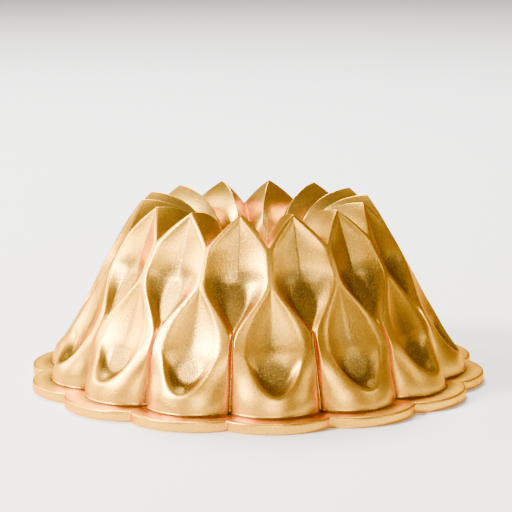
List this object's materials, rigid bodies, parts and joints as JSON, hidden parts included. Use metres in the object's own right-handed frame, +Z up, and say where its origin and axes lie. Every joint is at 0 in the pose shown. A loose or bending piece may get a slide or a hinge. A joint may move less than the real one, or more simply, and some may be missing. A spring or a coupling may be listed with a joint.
{
  "type": "fluted ring cake pan",
  "caption": "Cast aluminium ring cake pan standing crown up on its scalloped rim, with two rows of dished petals, a pleated crown and a hollow centre tube.",
  "frame": {"origin": "centre of the flat rim plane the pan stands on", "axes": "+Z up along the centre tube, from the mouth to the crown tips; -Y towards the middle of an upper petal"},
  "size_m": [0.2528, 0.2484, 0.1005],
  "materials": {
    "cast_metal": "satin gold lacquer with a fine metallic grain",
    "release_layer": "baked-on satin non-stick"
  },
  "bodies": {
    "root": {"cast_pan": "cast_metal", "release_coating": "release_layer"}
  },
  "joints": []
}
